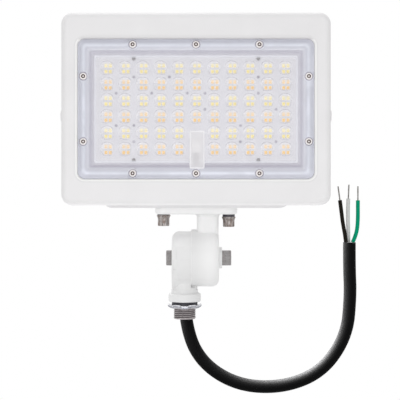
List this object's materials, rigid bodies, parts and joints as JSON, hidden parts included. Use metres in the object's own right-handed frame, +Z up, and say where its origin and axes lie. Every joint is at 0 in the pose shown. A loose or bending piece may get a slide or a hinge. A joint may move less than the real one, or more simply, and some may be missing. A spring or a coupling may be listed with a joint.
{
  "type": "flood light",
  "caption": "White outdoor LED flood light: finned die-cast head with a clear domed cover on a tilting knuckle, with a threaded nipple, locknut and black supply cord.",
  "frame": {"origin": "on the nipple's axis, at the top of its free thread, just below the locknut", "axes": "+Z up, away from the nipple's thread; the lens faces -Y; +X is to the right as seen from the front, along the tilt axis"},
  "size_m": [0.2846, 0.0664, 0.3614],
  "materials": {
    "white_paint": "satin",
    "clear_plastic": "gloss",
    "black_rubber": "matte",
    "grey_rubber": "matte",
    "white_board": "satin",
    "steel": "satin",
    "zinc": "satin",
    "grey_casting": "satin",
    "cool_phosphor": "matte",
    "warm_phosphor": "matte",
    "white_plastic": "matte",
    "black_plastic": "matte",
    "black_jacket": "satin",
    "black_wire": "satin",
    "white_wire": "satin",
    "green_wire": "satin",
    "tinned_copper": "satin"
  },
  "bodies": {
    "base": {"knuckle_lower": "white_paint", "threaded_nipple": "grey_casting", "nipple_seal": "black_rubber", "pivot_bolt": "steel", "pivot_nut": "steel", "cord_bushing": "black_rubber", "lower_leads": "black_wire", "supply_cord": "black_jacket", "wire_black": "black_wire", "wire_white": "white_wire", "wire_green": "green_wire", "wire_strands": "tinned_copper"},
    "head": {"housing": "white_paint", "lens_cover": "clear_plastic", "lens_gasket": "grey_rubber", "led_board": "white_board", "driver_cover_gasket": "grey_rubber", "bracket_gasket": "grey_rubber", "lens_screws": "steel", "board_screws": "steel", "driver_cover_screws": "steel", "driver_screws": "steel", "led_chips_cool": "cool_phosphor", "led_chips_warm": "warm_phosphor", "board_connector": "white_plastic", "board_leads": "black_wire", "driver": "black_plastic", "driver_cover": "white_paint", "selector_switch": "black_plastic", "knuckle_upper": "white_paint", "bracket_bolts": "steel", "bracket_washers": "steel", "upper_leads": "black_wire"},
    "selector": {"selector_knob": "white_plastic"},
    "plug": {"selector_plug": "grey_rubber"},
    "nut": {"locknut": "zinc"}
  },
  "joints": [
    {"name": "head_tilt", "type": "hinge", "parent": "base", "child": "head", "pos_m": [0, 0, 0.0486], "axis": [1, 0, 0], "range_deg": [-90, 90]},
    {"name": "selector_slide", "type": "slide", "parent": "head", "child": "selector", "axis": [1, 0, 0], "range_m": [-0.0024, 0.0024]},
    {"name": "plug_lift", "type": "slide", "parent": "head", "child": "plug", "axis": [0, 1, 0], "range_m": [0, 0.012]},
    {"name": "locknut_turn", "type": "hinge", "parent": "base", "child": "nut", "pos_m": [0, 0, 0], "axis": [0, 0, 1], "continuous": true}
  ]
}
